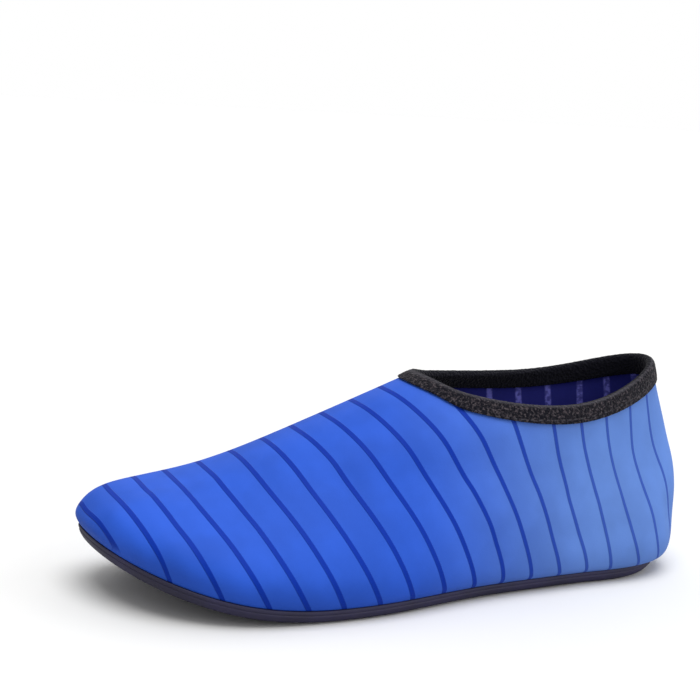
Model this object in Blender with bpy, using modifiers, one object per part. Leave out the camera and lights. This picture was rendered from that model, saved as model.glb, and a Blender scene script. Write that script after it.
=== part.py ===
# Left water shoe: a stretch upper with a knitted collar binding on a moulded rubber sole.
# Metres. The toe points along +X, the outer side of the foot is +Y, and it stands on Z = 0.

import math

import bmesh
import bpy
import numpy as np

MM = 0.001

# Sizes of the foot that the shoe is made for
SOLE_LENGTH = 240 * MM
BALL_WIDTH = 94.5 * MM
HEEL_WIDTH = 61 * MM
HEEL_HEIGHT = 80.5 * MM
SIDE_HEIGHT = 67 * MM
MEDIAL_RAISE = 5 * MM
INSTEP_HEIGHT = 75 * MM
TOE_SPRING = 18 * MM

# Thicknesses and clearances
GAP = 0.3 * MM
SOLE_THICKNESS = 4.5 * MM
TREAD_DEPTH = 1.5 * MM
BORDER_RISE = 0.15 * MM
INSOLE_THICKNESS = 3 * MM
UPPER_WALL = 1.6 * MM
BINDING_WALL = 0.9 * MM
BINDING_HEIGHT = 6.6 * MM
FOLD_HEIGHT = 2 * MM

# How far pieces stand in from the edge of the sole
FEATHER_INSET = 1.0 * MM
SIDE_WALL_INSET = 3.2 * MM
TREAD_BORDER = 3.6 * MM
TREAD_GROOVE = 1.7 * MM

# Hexagon lugs
HEXAGON_PITCH = 10.3 * MM
HEXAGON_WIDTH = 8.6 * MM
HEXAGON_TURN = math.radians(15)
LUG_ROOT = 0.4 * MM

# Stations round every loop, loops from the sole to the binding, and loops under the binding
STATIONS = 64
UPPER_LOOPS = 11
BINDING_LOOPS = 2
FOLD_RINGS = 3
ROUND_SIDES = 24
CAPSULE_SIDES = 8

# Above 1 the upper's loops lie closer together near the sole
LOOP_CROWDING = 1.3

# How quickly a loop turns from its ends into its sides, for insets and for the top of the upper
FLANK_FALL = 1.5
EGG_FULLNESS = 0.9

# Steps that the upper's slope is measured over, in stations and in levels
STATION_STEP = 0.25
LEVEL_STEP = 0.1

# Where the round ends of the sole start, as shares of its length
HEEL_ARC = 0.168
TOE_ARC = {"lateral": 0.74, "medial": 0.80}
SPRING_START = 0.66

# An exponent of 2 rounds the heel as an ellipse, and more makes it squarer
HEEL_SQUARENESS = 2.3

# Middle of the heel and tip of the toe, as shares of the ball width
HEEL_MIDDLE = 0.00
TOE_TIP = -0.158

# Both sides of the sole: share of the length, then shares of the ball width.
# The arch undercut narrows the side that meets the ground, the panel is the plain part of the tread.
SOLE_SIDES = (
    # share, lateral, medial, undercut, panel
    (0.168, 0.327, -0.325, 0.000, 0.000),
    (0.250, 0.350, -0.302, 0.027, 0.000),
    (0.333, 0.376, -0.260, 0.059, 0.030),
    (0.420, 0.414, -0.225, 0.053, 0.071),
    (0.500, 0.468, -0.227, 0.053, 0.045),
    (0.580, 0.517, -0.268, 0.057, 0.000),
    (0.660, 0.536, -0.360, 0.049, 0.000),
    (0.740, 0.534, -0.442, 0.000, 0.000),
    (0.800, 0.514, -0.448, 0.000, 0.000),
)

# Loops of the upper from the sole to the collar. Heel and front are shares of the sole's length,
# the spreads, lateral and medial are shares of the ball width, rear is a share of the heel width,
# and the rises are shares of the heel, side and instep heights. Egg 0 follows the sole's outline.
UPPER_LEVELS = (
    # heel, front, heel_spread, ball_spread, rear, lateral, medial, heel_rise, side_rise, front_rise, egg
    (0.004, 0.996, -0.011, -0.011, 0.50, 0.500, 0.460, 0.000, 0.000, 0.000, 0.00),
    (-0.023, 1.006, 0.036, 0.012, 0.50, 0.500, 0.460, 0.025, 0.060, 0.045, 0.00),
    (-0.031, 0.999, 0.046, 0.020, 0.50, 0.500, 0.460, 0.140, 0.190, 0.110, 0.00),
    (-0.041, 0.977, 0.046, 0.010, 0.53, 0.505, 0.440, 0.310, 0.360, 0.205, 0.35),
    (-0.040, 0.935, 0.040, 0.000, 0.51, 0.455, 0.395, 0.450, 0.520, 0.300, 0.75),
    (-0.026, 0.865, 0.000, 0.000, 0.49, 0.405, 0.355, 0.620, 0.670, 0.395, 1.00),
    (-0.012, 0.765, 0.000, 0.000, 0.465, 0.360, 0.315, 0.745, 0.790, 0.560, 1.00),
    (0.004, 0.620, 0.000, 0.000, 0.44, 0.320, 0.280, 0.870, 0.900, 0.790, 1.00),
    (0.017, 0.475, 0.000, 0.000, 0.40, 0.285, 0.250, 1.000, 1.000, 1.000, 1.00),
)

# Middle line of the upper's top, as shares of the length and of the ball width
RIDGE = ((0.00, -0.01), (0.25, 0.02), (0.45, 0.00), (0.70, -0.05), (0.90, -0.11), (1.00, -0.158))

# Round pads of the tread: share of the length, share of the ball width, radius, ring or plain
ROUND_PADS = (
    # share, across, radius, ringed
    (0.717, -0.084, 15.5 * MM, True),
    (0.641, 0.326, 9.5 * MM, True),
    (0.591, 0.022, 9.0 * MM, True),
    (0.496, 0.090, 6.0 * MM, True),
    (0.406, 0.085, 6.0 * MM, True),
    (0.240, 0.174, 7.7 * MM, True),
    (0.124, -0.011, 13.0 * MM, True),
    (0.320, 0.051, 6.0 * MM, False),
    (0.243, -0.048, 6.0 * MM, False),
)
PAD_RING = 1.8 * MM
PAD_RING_GROOVE = 1.0 * MM
RING_GROOVE_DEPTH = 0.9 * MM

# Groove that parts the toe's tread from the hexagons: share of the length at each side and middle
TOE_GROOVE = ((0.719, 0.49), (0.785, 0.33), (0.813, 0.136), (0.835, -0.10), (0.875, -0.37))

# Outer side of the sole from its top edge down to the ground, as shares of the inset, of the
# thickness and of the arch undercut
SOLE_WALL = (
    # inset, height, undercut
    (0.00, 1.00, 0.0),
    (0.15, 0.55, 0.2),
    (0.55, 0.17, 0.7),
)

# Long pads under the toes: inner and outer end, as shares of the length and of the ball width
TOE_PADS = (
    # inner, inner_across, outer, outer_across, width
    (0.798, 0.385, 0.828, 0.405, 6.0 * MM),
    (0.828, 0.290, 0.880, 0.315, 6.5 * MM),
    (0.858, 0.155, 0.938, 0.165, 7.0 * MM),
    (0.882, 0.000, 0.965, -0.020, 7.5 * MM),
)
# Textured blocks between them: middle, half length and half width, all as such shares
TOE_BLOCKS = (
    # share, across, half_length, half_width, turn
    (0.845, 0.360, 0.013, 0.022, 0.55),
    (0.893, 0.235, 0.021, 0.024, 0.35),
    (0.928, 0.078, 0.026, 0.026, 0.10),
    (0.926, -0.195, 0.030, 0.088, -0.12),
)


# Cubic curve through the rows of a table, level at its two ends
def along_table(rows, column, share):
    places = [row[0] for row in rows]
    values = [row[column] for row in rows]
    slopes = [0.0] * len(rows)
    for i in range(1, len(rows) - 1):
        slopes[i] = (values[i + 1] - values[i - 1]) / (places[i + 1] - places[i - 1])
    share = min(max(share, places[0]), places[-1])
    i = min(max(int(np.searchsorted(places, share)) - 1, 0), len(rows) - 2)
    step = places[i + 1] - places[i]
    t = (share - places[i]) / step
    return (
        (2 * t**3 - 3 * t**2 + 1) * values[i]
        + (t**3 - 2 * t**2 + t) * step * slopes[i]
        + (3 * t**2 - 2 * t**3) * values[i + 1]
        + (t**3 - t**2) * step * slopes[i + 1]
    )


# Smooth curve through evenly numbered rows, with the place counted in rows
def between_rows(rows, column, place):
    last = len(rows) - 1
    i = min(int(place), last - 1)
    t = place - i
    p1, p2 = rows[i][column], rows[i + 1][column]
    p0 = rows[i - 1][column] if i > 0 else 2 * p1 - p2
    p3 = rows[i + 2][column] if i + 2 <= last else 2 * p2 - p1
    return 0.5 * (
        2 * p1
        + (p2 - p0) * t
        + (2 * p0 - 5 * p1 + 4 * p2 - p3) * t**2
        + (3 * p1 - p0 - 3 * p2 + p3) * t**3
    )


# Height that the toe spring adds at a place along the sole
def spring(x):
    reach = max(0.0, (x / SOLE_LENGTH - SPRING_START) / (1 - SPRING_START))
    return TOE_SPRING * reach**2


# Edge of the sole across, in shares of the ball width
def sole_edge(share, side):
    column = 1 if side == "lateral" else 2
    if share < HEEL_ARC:
        half = along_table(SOLE_SIDES, column, HEEL_ARC) - HEEL_MIDDLE
        fullness = 1 - (1 - share / HEEL_ARC) ** HEEL_SQUARENESS
        return HEEL_MIDDLE + half * max(0.0, fullness) ** (1 / HEEL_SQUARENESS)
    start = TOE_ARC[side]
    if share > start:
        half = along_table(SOLE_SIDES, column, start) - TOE_TIP
        return TOE_TIP + half * math.sqrt(max(0.0, 1 - ((share - start) / (1 - start)) ** 2))
    return along_table(SOLE_SIDES, column, share)


# Place along a loop: 0 at the heel, 1 at the toe, and back round the medial side
def station(index):
    turn = 2 * math.pi * (index % STATIONS) / STATIONS
    side = "lateral" if turn < math.pi else "medial"
    return (1 - math.cos(turn)) / 2, side, abs(math.sin(turn))


# Sign of a side across the shoe
def outward(side):
    return 1 if side == "lateral" else -1


# Outline of the sole, moved in from its edge, with the undercut and panel of the arch
def sole_point(index, inset, undercut=0.0, panel=0.0):
    share, side, swell = station(index)
    x = inset + (SOLE_LENGTH - 2 * inset) * share
    if side == "medial":
        inset += undercut * BALL_WIDTH * along_table(SOLE_SIDES, 3, share)
        inset += panel * BALL_WIDTH * along_table(SOLE_SIDES, 4, share)
    flank = 1 - (1 - swell) ** FLANK_FALL
    return x, sole_edge(share, side) * BALL_WIDTH - outward(side) * inset * flank


# Point of the upper's outer face: a station round it, and the place between the levels
def upper_point(index, place):
    heel, front, heel_spread, ball_spread, rear, lateral, medial, heel_rise, side_rise, front_rise, egg = (
        between_rows(UPPER_LEVELS, column, place) for column in range(len(UPPER_LEVELS[0]))
    )
    share, side, swell = station(index)
    x = SOLE_LENGTH * (heel + (front - heel) * share)
    ramp = share * share * (3 - 2 * share)
    spread = (heel_spread * (1 - ramp) + ball_spread * ramp) * (1 - (1 - swell) ** FLANK_FALL)
    sole_y = (sole_edge(share, side) + outward(side) * spread) * BALL_WIDTH
    fore = (lateral if side == "lateral" else medial) * BALL_WIDTH
    half = rear * HEEL_WIDTH * (1 - ramp) + fore * ramp
    egg_y = ridge_line(x) + outward(side) * half * swell**EGG_FULLNESS
    rest = (2 * share - 1) ** 2
    middle = side_rise * (SIDE_HEIGHT if side == "lateral" else SIDE_HEIGHT + MEDIAL_RAISE)
    end = heel_rise * HEEL_HEIGHT if share < 0.5 else front_rise * INSTEP_HEIGHT
    z = SOLE_THICKNESS + GAP + middle + (end - middle) * rest + spring(x)
    return np.array((x, sole_y * (1 - egg) + egg_y * egg, z))


# Middle of the upper's top at a place along the shoe
def ridge_line(x):
    return along_table(RIDGE, 1, x / SOLE_LENGTH) * BALL_WIDTH


# Direction straight out of the upper at a station and a place between the levels
def upper_normal(index, place):
    low, high = max(place - LEVEL_STEP, 0.0), min(place + LEVEL_STEP, len(UPPER_LEVELS) - 1)
    across = upper_point(index + STATION_STEP, place) - upper_point(index - STATION_STEP, place)
    up = upper_point(index, high) - upper_point(index, low)
    normal = np.cross(up, across)
    return normal / np.linalg.norm(normal)


# Mesh object from points and faces, linked to a collection
def mesh_object(name, points, faces, collection):
    mesh = bpy.data.meshes.new(name)
    mesh.from_pydata([tuple(point) for point in points], [], faces)
    mesh.update()
    piece = bpy.data.objects.new(name, mesh)
    collection.objects.link(piece)
    return piece


# Quads between rings of equal length, one ring after the next
def ring_faces(rings, count, closed_rows=False):
    faces = []
    for r in range(rings if closed_rows else rings - 1):
        for i in range(count):
            a, b = r * count + i, r * count + (i + 1) % count
            c, d = ((r + 1) % rings) * count + (i + 1) % count, ((r + 1) % rings) * count + i
            faces.append((a, b, c, d))
    return faces


# Quads straight across a ring, from each station to its opposite on the other side
def across_faces(start, count):
    half = count // 2
    faces = [(start, start + 1, start + count - 1)]
    for i in range(1, half - 1):
        faces.append((start + i, start + i + 1, start + count - i - 1, start + count - i))
    faces.append((start + half - 1, start + half, start + half + 1))
    return faces


# Lift every point of a mesh by the toe spring at its place along the sole
def lift_toe(piece):
    for vertex in piece.data.vertices:
        vertex.co.z += spring(vertex.co.x)
    piece.data.update()


# Turn all faces outwards
def face_outwards(piece):
    shell = bmesh.new()
    shell.from_mesh(piece.data)
    bmesh.ops.recalc_face_normals(shell, faces=shell.faces)
    shell.to_mesh(piece.data)
    shell.free()


# Body of the sole with a raised border round its tread, before any lugs and before the toe is lifted
def sole_body(collection):
    border = SIDE_WALL_INSET + TREAD_BORDER
    rings = [
        (inset * SIDE_WALL_INSET, height * SOLE_THICKNESS, undercut, 0.0)
        for inset, height, undercut in SOLE_WALL
    ]
    rings.append((SIDE_WALL_INSET, BORDER_RISE, 1.0, 0.0))
    rings.append((border, BORDER_RISE, 1.0, 1.0))
    rings.append((border, TREAD_DEPTH, 1.0, 1.0))
    points = []
    for inset, height, undercut, panel in rings:
        for index in range(STATIONS):
            x, y = sole_point(index, inset, undercut, panel)
            points.append((x, y, height))
    faces = ring_faces(len(rings), STATIONS)
    faces += across_faces(0, STATIONS)
    faces += across_faces((len(rings) - 1) * STATIONS, STATIONS)
    piece = mesh_object("outsole", points, faces, collection)
    face_outwards(piece)
    return piece


# Upright prism over a flat outline
def prism(shell, outline, low, high):
    bottom = [shell.verts.new((x, y, low)) for x, y in outline]
    top = [shell.verts.new((x, y, high)) for x, y in outline]
    count = len(outline)
    shell.faces.new(list(reversed(bottom)))
    shell.faces.new(top)
    for i in range(count):
        j = (i + 1) % count
        shell.faces.new((bottom[i], bottom[j], top[j], top[i]))


# Points of a circle, or of a hexagon with six sides
def circle(x, y, radius, sides, turn=0.0):
    angles = [turn + 2 * math.pi * i / sides for i in range(sides)]
    return [(x + radius * math.cos(angle), y + radius * math.sin(angle)) for angle in angles]


# Long pad with round ends
def capsule(x0, y0, x1, y1, width):
    heading = math.atan2(y1 - y0, x1 - x0)
    points = []
    for end_x, end_y, start in ((x1, y1, heading - math.pi / 2), (x0, y0, heading + math.pi / 2)):
        for i in range(CAPSULE_SIDES + 1):
            angle = start + math.pi * i / CAPSULE_SIDES
            points.append((end_x + width / 2 * math.cos(angle), end_y + width / 2 * math.sin(angle)))
    return points


# Place along the sole of the groove behind the toe's tread, at a place across
def toe_groove(y):
    rows = sorted((across * BALL_WIDTH, share * SOLE_LENGTH) for share, across in TOE_GROOVE)
    return float(np.interp(y, [row[0] for row in rows], [row[1] for row in rows]))


# Outline of the field of hexagons: inside the border and behind the toe groove
def hexagon_field():
    inset = SIDE_WALL_INSET + TREAD_BORDER + TREAD_GROOVE
    outline = []
    for index in range(STATIONS):
        x, y = sole_point(index, inset, 1.0, 1.0)
        outline.append((min(x, toe_groove(y) - TREAD_GROOVE / 2), y))
    return outline


# True where a point lies inside a closed outline
def inside(x, y, outline):
    found = False
    for (x0, y0), (x1, y1) in zip(outline, outline[1:] + outline[:1]):
        if (y0 > y) != (y1 > y) and x < (x1 - x0) * (y - y0) / (y1 - y0) + x0:
            found = not found
    return found


# Middles of the hexagons whose middle lies in the field and off the round pads
def hexagon_middles(field):
    turn = HEXAGON_TURN
    reach = int(SOLE_LENGTH / HEXAGON_PITCH) + 2
    middles = []
    for row in range(-reach, reach):
        for column in range(-reach, reach):
            u = (column + 0.5 * (row % 2)) * HEXAGON_PITCH
            v = row * HEXAGON_PITCH * math.sqrt(3) / 2
            x = SOLE_LENGTH / 2 + u * math.cos(turn) - v * math.sin(turn)
            y = u * math.sin(turn) + v * math.cos(turn)
            clear = all(
                math.hypot(x - share * SOLE_LENGTH, y - across * BALL_WIDTH) > radius + TREAD_GROOVE
                for share, across, radius, _ in ROUND_PADS
            )
            if clear and inside(x, y, field):
                middles.append((x, y))
    return middles


# Mesh object made of separate upright prisms
def prisms(name, outlines, low, high, collection):
    shell = bmesh.new()
    for outline in outlines:
        prism(shell, outline, low, high)
    bmesh.ops.recalc_face_normals(shell, faces=shell.faces)
    mesh = bpy.data.meshes.new(name)
    shell.to_mesh(mesh)
    shell.free()
    piece = bpy.data.objects.new(name, mesh)
    collection.objects.link(piece)
    return piece


# Apply one Boolean to a piece and keep the cutter as a guide
def cut(piece, cutter, operation):
    modifier = piece.modifiers.new(operation.lower(), "BOOLEAN")
    modifier.operation = operation
    modifier.solver = "EXACT"
    modifier.use_self = True
    modifier.object = cutter
    bpy.context.view_layer.update()
    shaped = bpy.data.meshes.new_from_object(piece.evaluated_get(bpy.context.evaluated_depsgraph_get()))
    piece.modifiers.remove(modifier)
    piece.data = shaped
    cutter.hide_render = True
    cutter.display_type = "WIRE"


# Hexagons, cut off at the edge of their field and round the pads
def hexagon_lugs(cutters):
    field = hexagon_field()
    radius = HEXAGON_WIDTH / math.sqrt(3)
    turn = HEXAGON_TURN + math.pi / 6
    outlines = [circle(x, y, radius, 6, turn) for x, y in hexagon_middles(field)]
    top = TREAD_DEPTH + LUG_ROOT
    lugs = prisms("hexagon_lugs", outlines, 0.0, top, cutters)
    edge = prisms("hexagon_field", [field], -top, 2 * top, cutters)
    cut(lugs, edge, "INTERSECT")
    clear = [
        circle(share * SOLE_LENGTH, across * BALL_WIDTH, radius + TREAD_GROOVE / 2, ROUND_SIDES)
        for share, across, radius, _ in ROUND_PADS
    ]
    cut(lugs, prisms("pad_clearance", clear, -top, 2 * top, cutters), "DIFFERENCE")
    return lugs


# Round pads, long toe pads and toe blocks
def pad_lugs(cutters):
    top = TREAD_DEPTH + LUG_ROOT
    outlines, grooves = [], []
    for share, across, radius, ringed in ROUND_PADS:
        x, y = share * SOLE_LENGTH, across * BALL_WIDTH
        outlines.append(circle(x, y, radius, ROUND_SIDES))
        if ringed:
            grooves.append((x, y, radius - PAD_RING))
    for inner, inner_across, outer, outer_across, width in TOE_PADS:
        ends = (inner * SOLE_LENGTH, inner_across * BALL_WIDTH)
        ends += (outer * SOLE_LENGTH, outer_across * BALL_WIDTH)
        outlines.append(capsule(*ends, width))
    for share, across, half_length, half_width, turn in TOE_BLOCKS:
        corners = []
        for along, aside in ((-1, -1), (1, -1), (1, 1), (-1, 1)):
            u, v = along * half_length * SOLE_LENGTH, aside * half_width * BALL_WIDTH
            corners.append((
                share * SOLE_LENGTH + u * math.cos(turn) - v * math.sin(turn),
                across * BALL_WIDTH + u * math.sin(turn) + v * math.cos(turn),
            ))
        outlines.append(corners)
    pads = prisms("pad_lugs", outlines, 0.0, top, cutters)
    floor = [sole_point(index, SIDE_WALL_INSET + GAP, 1.0) for index in range(STATIONS)]
    cut(pads, prisms("pad_field", [floor], -top, 2 * top, cutters), "INTERSECT")
    for number, (x, y, radius) in enumerate(grooves):
        groove = prisms(f"ring_groove_{number + 1}", [circle(x, y, radius, ROUND_SIDES)],
                        -top, RING_GROOVE_DEPTH, cutters)
        core = prisms(f"ring_core_{number + 1}", [circle(x, y, radius - PAD_RING_GROOVE, ROUND_SIDES)],
                      -2 * top, top, cutters)
        cut(groove, core, "DIFFERENCE")
        cut(pads, groove, "DIFFERENCE")
    return pads


# Rubber sole with its border, lugs and lifted toe
def make_outsole(parts, cutters):
    sole = sole_body(parts)
    cut(sole, hexagon_lugs(cutters), "UNION")
    cut(sole, pad_lugs(cutters), "UNION")
    lift_toe(sole)
    return sole


# Foam insole inside the foot of the upper
def make_insole(parts):
    inset = FEATHER_INSET + UPPER_WALL + 2 * GAP
    low = SOLE_THICKNESS + GAP
    points = []
    for height in (low, low + INSOLE_THICKNESS):
        for index in range(STATIONS):
            x, y = sole_point(index, inset)
            points.append((x, y, height))
    faces = ring_faces(2, STATIONS) + across_faces(0, STATIONS) + across_faces(STATIONS, STATIONS)
    insole = mesh_object("insole", points, faces, parts)
    face_outwards(insole)
    lift_toe(insole)
    return insole


# Points of the collar's edge, once round
def collar_edge():
    return np.array([upper_point(index, len(UPPER_LEVELS) - 1) for index in range(STATIONS)])


# Distance from a point to the nearest stretch of a closed line
def distance_to_line(point, line):
    runs = np.roll(line, -1, axis=0) - line
    along = np.clip(((point - line) * runs).sum(axis=1) / (runs * runs).sum(axis=1), 0, 1)
    return float(np.linalg.norm(line + runs * along[:, None] - point, axis=1).min())


# Place between the levels of a station that lies a given way down from the collar's edge
def place_below_collar(index, depth, edge):
    top = len(UPPER_LEVELS) - 1
    places = np.arange(top, top - 3, -LEVEL_STEP)
    distances = [distance_to_line(upper_point(index, place), edge) for place in places]
    return float(np.interp(depth, distances, places))


# Places of a station's loops under the binding, from its lower edge to the collar's edge
def binding_places(index, edge):
    depths = [BINDING_HEIGHT * (1 - loop / BINDING_LOOPS) for loop in range(BINDING_LOOPS + 1)]
    return [place_below_collar(index, depth, edge) for depth in depths]


# Stretch upper: its outer face from the sole's edge to the collar, with a wall inwards
def make_upper(parts):
    collar = collar_edge()
    rings = [[] for _ in range(UPPER_LOOPS + BINDING_LOOPS + 1)]
    for index in range(STATIONS):
        under_binding = binding_places(index, collar)
        places = [under_binding[0] * (loop / UPPER_LOOPS) ** LOOP_CROWDING for loop in range(UPPER_LOOPS)]
        for ring, place in zip(rings, places + under_binding):
            ring.append(upper_point(index, place))
    points = [point for ring in rings for point in ring]
    faces = [tuple(reversed(face)) for face in ring_faces(len(rings), STATIONS)]
    upper = mesh_object("upper", points, faces, parts)
    wall = upper.modifiers.new("wall", "SOLIDIFY")
    wall.thickness = UPPER_WALL
    wall.offset = -1
    wall.use_even_offset = True
    return upper


# Knitted binding, folded over the collar's edge
def make_binding(parts):
    outer = GAP + BINDING_WALL / 2
    inner = UPPER_WALL + GAP + BINDING_WALL / 2
    legs = BINDING_LOOPS + 1
    collar = collar_edge()
    rings = [[] for _ in range(2 * legs + FOLD_RINGS)]
    for index in range(STATIONS):
        places = binding_places(index, collar)
        for number, place in enumerate(places):
            point, normal = upper_point(index, place), upper_normal(index, place)
            rings[number].append(point + normal * outer)
            rings[-1 - number].append(point - normal * inner)
        edge = upper_point(index, places[-1])
        rise = edge - upper_point(index, places[-2])
        rise /= np.linalg.norm(rise)
        normal = upper_normal(index, places[-1])
        for number in range(FOLD_RINGS):
            turn = math.pi * (number + 1) / (FOLD_RINGS + 1)
            aside = (outer - inner) / 2 + (outer + inner) / 2 * math.cos(turn)
            lift = FOLD_HEIGHT * math.sin(turn)
            rings[legs + number].append(edge + normal * aside + rise * lift)
    points = [point for ring in rings for point in ring]
    faces = [tuple(reversed(face)) for face in ring_faces(len(rings), STATIONS)]
    binding = mesh_object("collar_binding", points, faces, parts)
    wall = binding.modifiers.new("wall", "SOLIDIFY")
    wall.thickness = BINDING_WALL
    wall.offset = 0
    wall.use_even_offset = True
    return binding


# Plain material with a colour, roughness and sheen
def finish(name, colour, roughness, sheen=0.0):
    material = bpy.data.materials.new(name)
    material.use_nodes = True
    shader = material.node_tree.nodes["Principled BSDF"]
    shader.inputs["Base Color"].default_value = (*colour, 1)
    shader.inputs["Roughness"].default_value = roughness
    shader.inputs["Metallic"].default_value = 0
    shader.inputs["Sheen Weight"].default_value = sheen
    return material


# Put the origin under the middle of the whole shoe
def centre_on_footprint(pieces):
    bpy.context.view_layer.update()
    graph = bpy.context.evaluated_depsgraph_get()
    corners = np.array([corner for piece in pieces for corner in piece.evaluated_get(graph).bound_box])
    low, high = corners.min(axis=0), corners.max(axis=0)
    for piece in pieces:
        piece.location = (-(low[0] + high[0]) / 2, -(low[1] + high[1]) / 2, -low[2])


def main():
    for old in list(bpy.data.objects):
        bpy.data.objects.remove(old, do_unlink=True)
    parts = bpy.data.collections.new("water_shoe")
    cutters = bpy.data.collections.new("cutters")
    bpy.context.scene.collection.children.link(parts)
    bpy.context.scene.collection.children.link(cutters)

    finishes = {
        "outsole": finish("sole_rubber", (0.022, 0.020, 0.026), 0.62),
        "upper": finish("blue_stretch_fabric", (0.045, 0.13, 0.68), 0.7, 0.3),
        "collar_binding": finish("black_knit", (0.012, 0.011, 0.013), 0.9, 0.2),
        "insole": finish("dark_foam", (0.02, 0.02, 0.05), 0.85),
    }
    pieces = [make_outsole(parts, cutters), make_upper(parts), make_binding(parts), make_insole(parts)]
    for piece in pieces:
        piece.data.materials.clear()
        piece.data.materials.append(finishes[piece.name])
        piece.data.shade_smooth()
        piece.data.set_sharp_from_angle(angle=math.radians(35))
    centre_on_footprint(pieces)


main()
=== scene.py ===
# Left water shoe: stretch upper with curved stripes, knitted collar binding and rubber sole.
# Metres, in the frame of the fixed model: toe along +X, outer side of the foot along +Y.
import math

import bpy
import numpy as np
from mathutils import Matrix, Vector, noise


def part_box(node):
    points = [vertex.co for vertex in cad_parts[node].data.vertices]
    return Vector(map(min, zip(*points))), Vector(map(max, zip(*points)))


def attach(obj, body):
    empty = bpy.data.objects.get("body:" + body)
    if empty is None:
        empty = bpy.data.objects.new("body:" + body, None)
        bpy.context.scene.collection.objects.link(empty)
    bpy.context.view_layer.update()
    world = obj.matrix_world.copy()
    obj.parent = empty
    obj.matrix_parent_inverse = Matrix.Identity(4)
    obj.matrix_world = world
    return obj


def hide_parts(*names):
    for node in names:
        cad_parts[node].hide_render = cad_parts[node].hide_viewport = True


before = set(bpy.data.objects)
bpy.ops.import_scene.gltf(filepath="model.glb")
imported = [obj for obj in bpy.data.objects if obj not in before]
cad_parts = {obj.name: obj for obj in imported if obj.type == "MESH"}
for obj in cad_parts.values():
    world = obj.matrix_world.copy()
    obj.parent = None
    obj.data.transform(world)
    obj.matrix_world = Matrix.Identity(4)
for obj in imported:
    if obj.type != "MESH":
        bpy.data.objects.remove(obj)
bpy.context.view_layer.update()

mm = 0.001
scene = bpy.context.scene
soleLow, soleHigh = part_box("outsole")
soleLength = soleHigh.x - soleLow.x
middleLine = -4.35 * mm  # the sole's lengthwise line, as a place along Y
soleTop = 4.5            # mm, height of the sole's upper edge
toeSpring = {"from": 0.66, "rise": 18 * mm}  # share of the length, rise at the tip


# Working helpers, as in edit mode by hand

def only(piece):  # select one piece and nothing else
    bpy.ops.object.select_all(action="DESELECT")
    piece.select_set(True)
    bpy.context.view_layer.objects.active = piece


def edited(piece, kind="VERT", chosen=None, action="DESELECT"):  # open edit mode, with parts chosen
    only(piece)
    scene.tool_settings.mesh_select_mode = [kind == name for name in ("VERT", "EDGE", "FACE")]
    if chosen is not None:
        for kindOf, elements in (("VERT", piece.data.vertices), ("EDGE", piece.data.edges),
                                 ("FACE", piece.data.polygons)):
            elements.foreach_set("select", chosen if kindOf == kind else [False] * len(elements))
    bpy.ops.object.mode_set(mode="EDIT")
    if chosen is None:
        bpy.ops.mesh.select_all(action=action)


def facedOutwards():  # in edit mode: turn every face outwards, and leave edit mode
    bpy.ops.mesh.select_all(action="SELECT")
    bpy.ops.mesh.normals_make_consistent(inside=False)
    bpy.ops.object.mode_set(mode="OBJECT")


def pointsOf(piece):
    points = np.empty(len(piece.data.vertices) * 3)
    piece.data.vertices.foreach_get("co", points)
    return points.reshape(-1, 3)


def setPoints(piece, points):
    piece.data.vertices.foreach_set("co", np.asarray(points, float).ravel())
    piece.data.update()


def normalsOf(piece):
    normals = np.empty(len(piece.data.vertices) * 3)
    piece.data.vertex_normals.foreach_get("vector", normals)
    return normals.reshape(-1, 3)


def setAttribute(piece, name, values):  # one number on each point
    attribute = piece.data.attributes.new(name, "FLOAT", "POINT")
    attribute.data.foreach_set("value", np.asarray(values, float))


def mergedCopy(node, name, quads=True):  # a welded copy of a fixed node, in quads where it can be
    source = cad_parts[node]
    piece = bpy.data.objects.new(name, source.data.copy())
    scene.collection.objects.link(piece)
    piece.data.materials.clear()
    only(piece)
    if piece.data.has_custom_normals:
        bpy.ops.mesh.customdata_custom_splitnormals_clear()
    bpy.ops.object.mode_set(mode="EDIT")
    bpy.ops.mesh.select_all(action="SELECT")
    bpy.ops.mesh.remove_doubles(threshold=0.02 * mm)
    bpy.ops.mesh.mark_sharp(clear=True)
    if quads:
        bpy.ops.mesh.tris_convert_to_quads(
            face_threshold=math.pi, shape_threshold=math.pi, topology_influence=1.5)
    bpy.ops.object.mode_set(mode="OBJECT")
    return piece


def applied(piece, kind, **settings):  # add a modifier, set it and apply it
    only(piece)
    modifier = piece.modifiers.new(kind.lower(), kind)
    for key, value in settings.items():
        setattr(modifier, key, value)
    bpy.ops.object.modifier_apply(modifier=modifier.name)


def smoothed(piece, levels):
    applied(piece, "SUBSURF", levels=levels, render_levels=levels)
    piece.data.shade_smooth()


def lift(x):  # spring of the toe
    share = (x - soleLow.x) / soleLength
    return toeSpring["rise"] * np.clip((share - toeSpring["from"]) / (1 - toeSpring["from"]), 0, 1) ** 2


def smoothStep(low, high, value):
    share = np.clip((value - low) / (high - low), 0, 1)
    return share * share * (3 - 2 * share)


# Small tools for materials

def newMaterial(name):
    material = bpy.data.materials.new(name)
    material.use_nodes = True
    tree = material.node_tree
    return material, tree, tree.nodes["Principled BSDF"]


def feed(tree, node, values):  # link each socket to an output, or set it to a number or a colour
    for key, value in values.items():
        if isinstance(value, bpy.types.NodeSocket):
            tree.links.new(value, node.inputs[key])
        else:
            node.inputs[key].default_value = (*value, 1) if isinstance(value, tuple) else value


def addNode(tree, kind, values, **settings):
    node = tree.nodes.new("ShaderNode" + kind)
    for key, value in settings.items():
        setattr(node, key, value)
    feed(tree, node, values)
    return node


def mathNode(tree, operation, *values, clamp=False):
    node = addNode(tree, "Math", dict(enumerate(values)), operation=operation, use_clamp=clamp)
    return node.outputs[0]


def rangeNode(tree, value, low, high, toLow, toHigh):
    values = {"Value": value, "From Min": low, "From Max": high, "To Min": toLow, "To Max": toHigh}
    return addNode(tree, "MapRange", values, interpolation_type="SMOOTHSTEP").outputs["Result"]


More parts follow.
